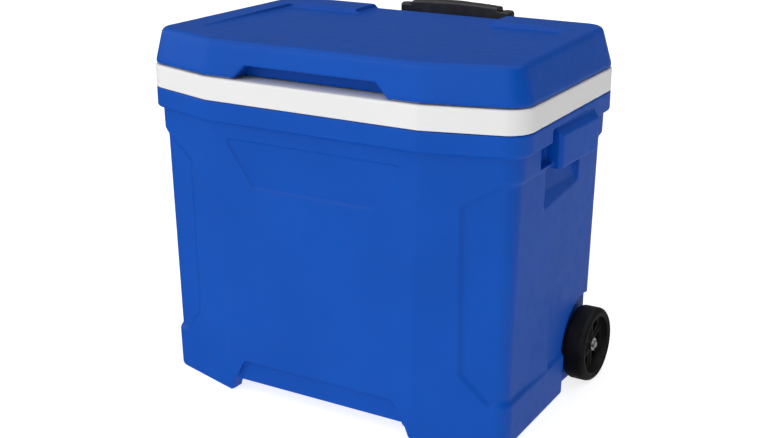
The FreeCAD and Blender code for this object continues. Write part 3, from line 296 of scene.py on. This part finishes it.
def moulded_black(name, roughness, grain_depth):
    s = Surface(name, (0.012, 0.012, 0.013), roughness)
    s.mottle(s.noise(30, 3), 0.75, 1.4)
    s.roughen(s.noise(90, 4), roughness - 0.06, roughness + 0.08)
    s.bump(s.add(s.cells(1100), s.noise(2300, 1)), grain_depth, 0.6)
    return s.material


def wheel_rubber():
    s = Surface("wheel_plastic", (0.006, 0.006, 0.0064), 0.5, specular=0.2)
    s.mottle(s.noise(45, 4), 0.7, 1.8)
    s.roughen(s.noise(120, 4), 0.4, 0.62)
    s.bump(s.add(s.noise(700, 3), s.noise(2600, 1)), 0.0001, 0.6)
    return s.material


def painted_tube():
    s = Surface("painted_tube", (0.02, 0.02, 0.022), 0.34)
    s.mottle(s.noise(40, 3, (1, 1, 0.05)), 0.8, 1.5)
    s.roughen(s.noise(300, 3, (1, 1, 0.03)), 0.26, 0.42)
    s.bump(s.noise(1500, 2), 0.00003, 0.5)
    return s.material


def bright_steel():
    s = Surface("bright_steel", (0.6, 0.6, 0.62), 0.3, metallic=1.0)
    s.mottle(s.noise(200, 3), 0.85, 1.08)
    s.roughen(s.noise(500, 3), 0.22, 0.42)
    s.bump(s.noise(1800, 2), 0.00003, 0.4)
    return s.material


def poured_foam():
    s = Surface("poured_foam", (0.82, 0.74, 0.5), 0.9, specular=0.2)
    s.mottle(s.noise(60, 4), 0.85, 1)
    s.roughen(s.noise(200, 2), 0.82, 0.98)
    s.bump(s.add(s.cells(500), s.noise(900, 3)), 0.0004, 0.8)
    return s.material


def make_materials():
    return {
        "blue_shell": moulded_blue(),
        "white_liner": moulded_white(),
        "foam": poured_foam(),
        "black_plastic": moulded_black("moulded_black", 0.36, 0.00006),
        "hinge_plastic": moulded_black("hinge_black", 0.42, 0.00008),
        "wheel_plastic": wheel_rubber(),
        "tube_metal": painted_tube(),
        "steel": bright_steel(),
    }


def slot_of_nodes():
    return {s["node"]: s["material_slot"] for s in frame["record"]["subparts"]}


def dress(obj, material):
    obj.data.materials.clear()
    obj.data.materials.append(material)


# ---- moulded pieces --------------------------------------------------------

WELD = 2e-6                # joins the vertices that meet along a crease

# Voxel size in metres, smoothing rounds and triangles kept for each softened node
SOFTENED = {
    "body_shell": (0.0013, 3, 190000),
    "lid_shell": (0.0012, 5, 110000),
    "inner_liner": (0.0012, 3, 100000),
    "tow_grip": (0.0006, 3, 24000),
    "wheel_left": (0.0006, 2, 40000),
    "wheel_right": (0.0006, 2, 40000),
}
SMOOTHING = 0.5            # share of the way each smoothing round moves a vertex


def body_of_node(node):
    bodies = frame["record"]["behaviour"]["bodies"]
    return next(body for body, members in bodies.items() if node in members)


def modified(obj, kind, **settings):
    """Apply one modifier to the object's mesh."""
    modifier = obj.modifiers.new(kind.lower(), kind)
    for name, value in settings.items():
        setattr(modifier, name, value)
    graph = bpy.context.evaluated_depsgraph_get()
    result = bpy.data.meshes.new_from_object(obj.evaluated_get(graph))
    obj.modifiers.clear()
    obj.data = result


def closed_copy(node):
    """The node's mesh as one closed surface."""
    mesh = frame["nodes"][node].data.copy()
    shape = bmesh.new()
    shape.from_mesh(mesh)
    bmesh.ops.remove_doubles(shape, verts=shape.verts, dist=WELD)
    shape.to_mesh(mesh)
    shape.free()
    return mesh


def moulded(node, voxel, rounds, triangles):
    """The node remade with softly rounded edges and corners, standing for the node."""
    piece = link(bpy.data.objects.new("moulded_" + node, closed_copy(node)))
    modified(piece, "REMESH", mode="VOXEL", voxel_size=voxel)
    modified(piece, "SMOOTH", factor=SMOOTHING, iterations=rounds)
    piece.data.calc_loop_triangles()
    modified(piece, "DECIMATE", ratio=min(1, triangles / len(piece.data.loop_triangles)))
    piece.data.polygons.foreach_set("use_smooth", [True] * len(piece.data.polygons))
    slot = slot_of_nodes()[node]
    dress(piece, materials[slot])
    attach(piece, body_of_node(node))
    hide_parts(node)


# ---- scene and finish ------------------------------------------------------


bpy.context.scene.view_settings.view_transform = "Standard"
make_camera()
make_world()
make_key_light()
make_floor()
materials = make_materials()
for node, slot in slot_of_nodes().items():
    dress(frame["nodes"][node], materials[slot])
for node, (voxel, rounds, triangles) in SOFTENED.items():
    moulded(node, voxel, rounds, triangles)
